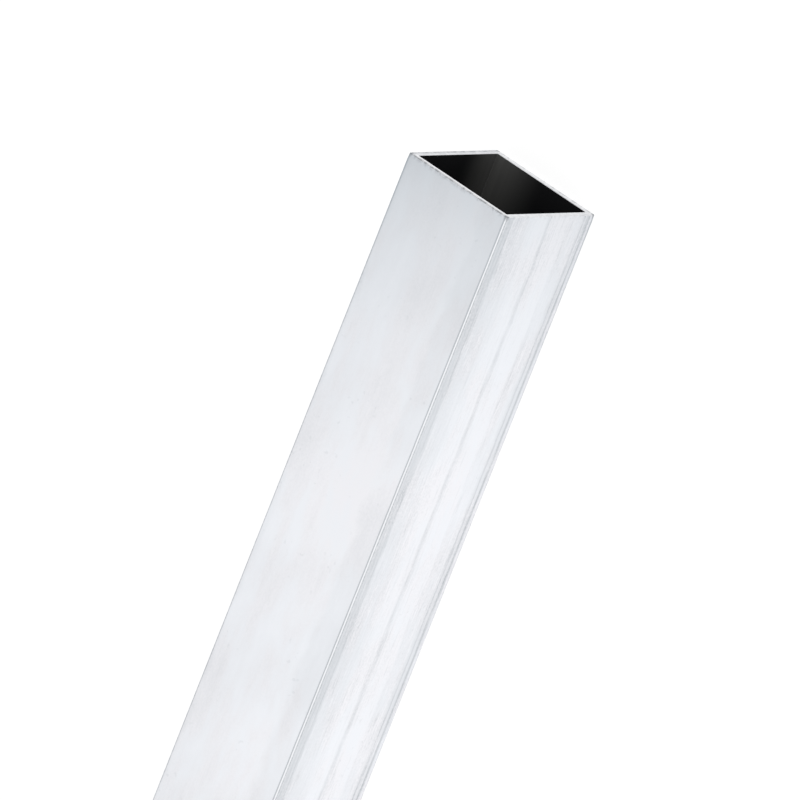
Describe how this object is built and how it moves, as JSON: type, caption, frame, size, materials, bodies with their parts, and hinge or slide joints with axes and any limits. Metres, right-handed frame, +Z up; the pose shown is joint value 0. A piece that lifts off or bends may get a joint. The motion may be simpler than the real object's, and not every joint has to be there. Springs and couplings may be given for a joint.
{
  "type": "square metal tube",
  "caption": "Square aluminium tube with a thin even wall, near-sharp corners, an open bore and sawn ends.",
  "frame": {"origin": "middle of the bottom face that the tube rests on, half way along its length", "axes": "+X along the tube, +Z up, +Y across it; the section is square and the same all along"},
  "size_m": [0.3048, 0.0318, 0.0318],
  "materials": {
    "tube": "mill finish, with fine die lines along the tube"
  },
  "bodies": {
    "root": {"square_tube": "tube"}
  },
  "joints": []
}
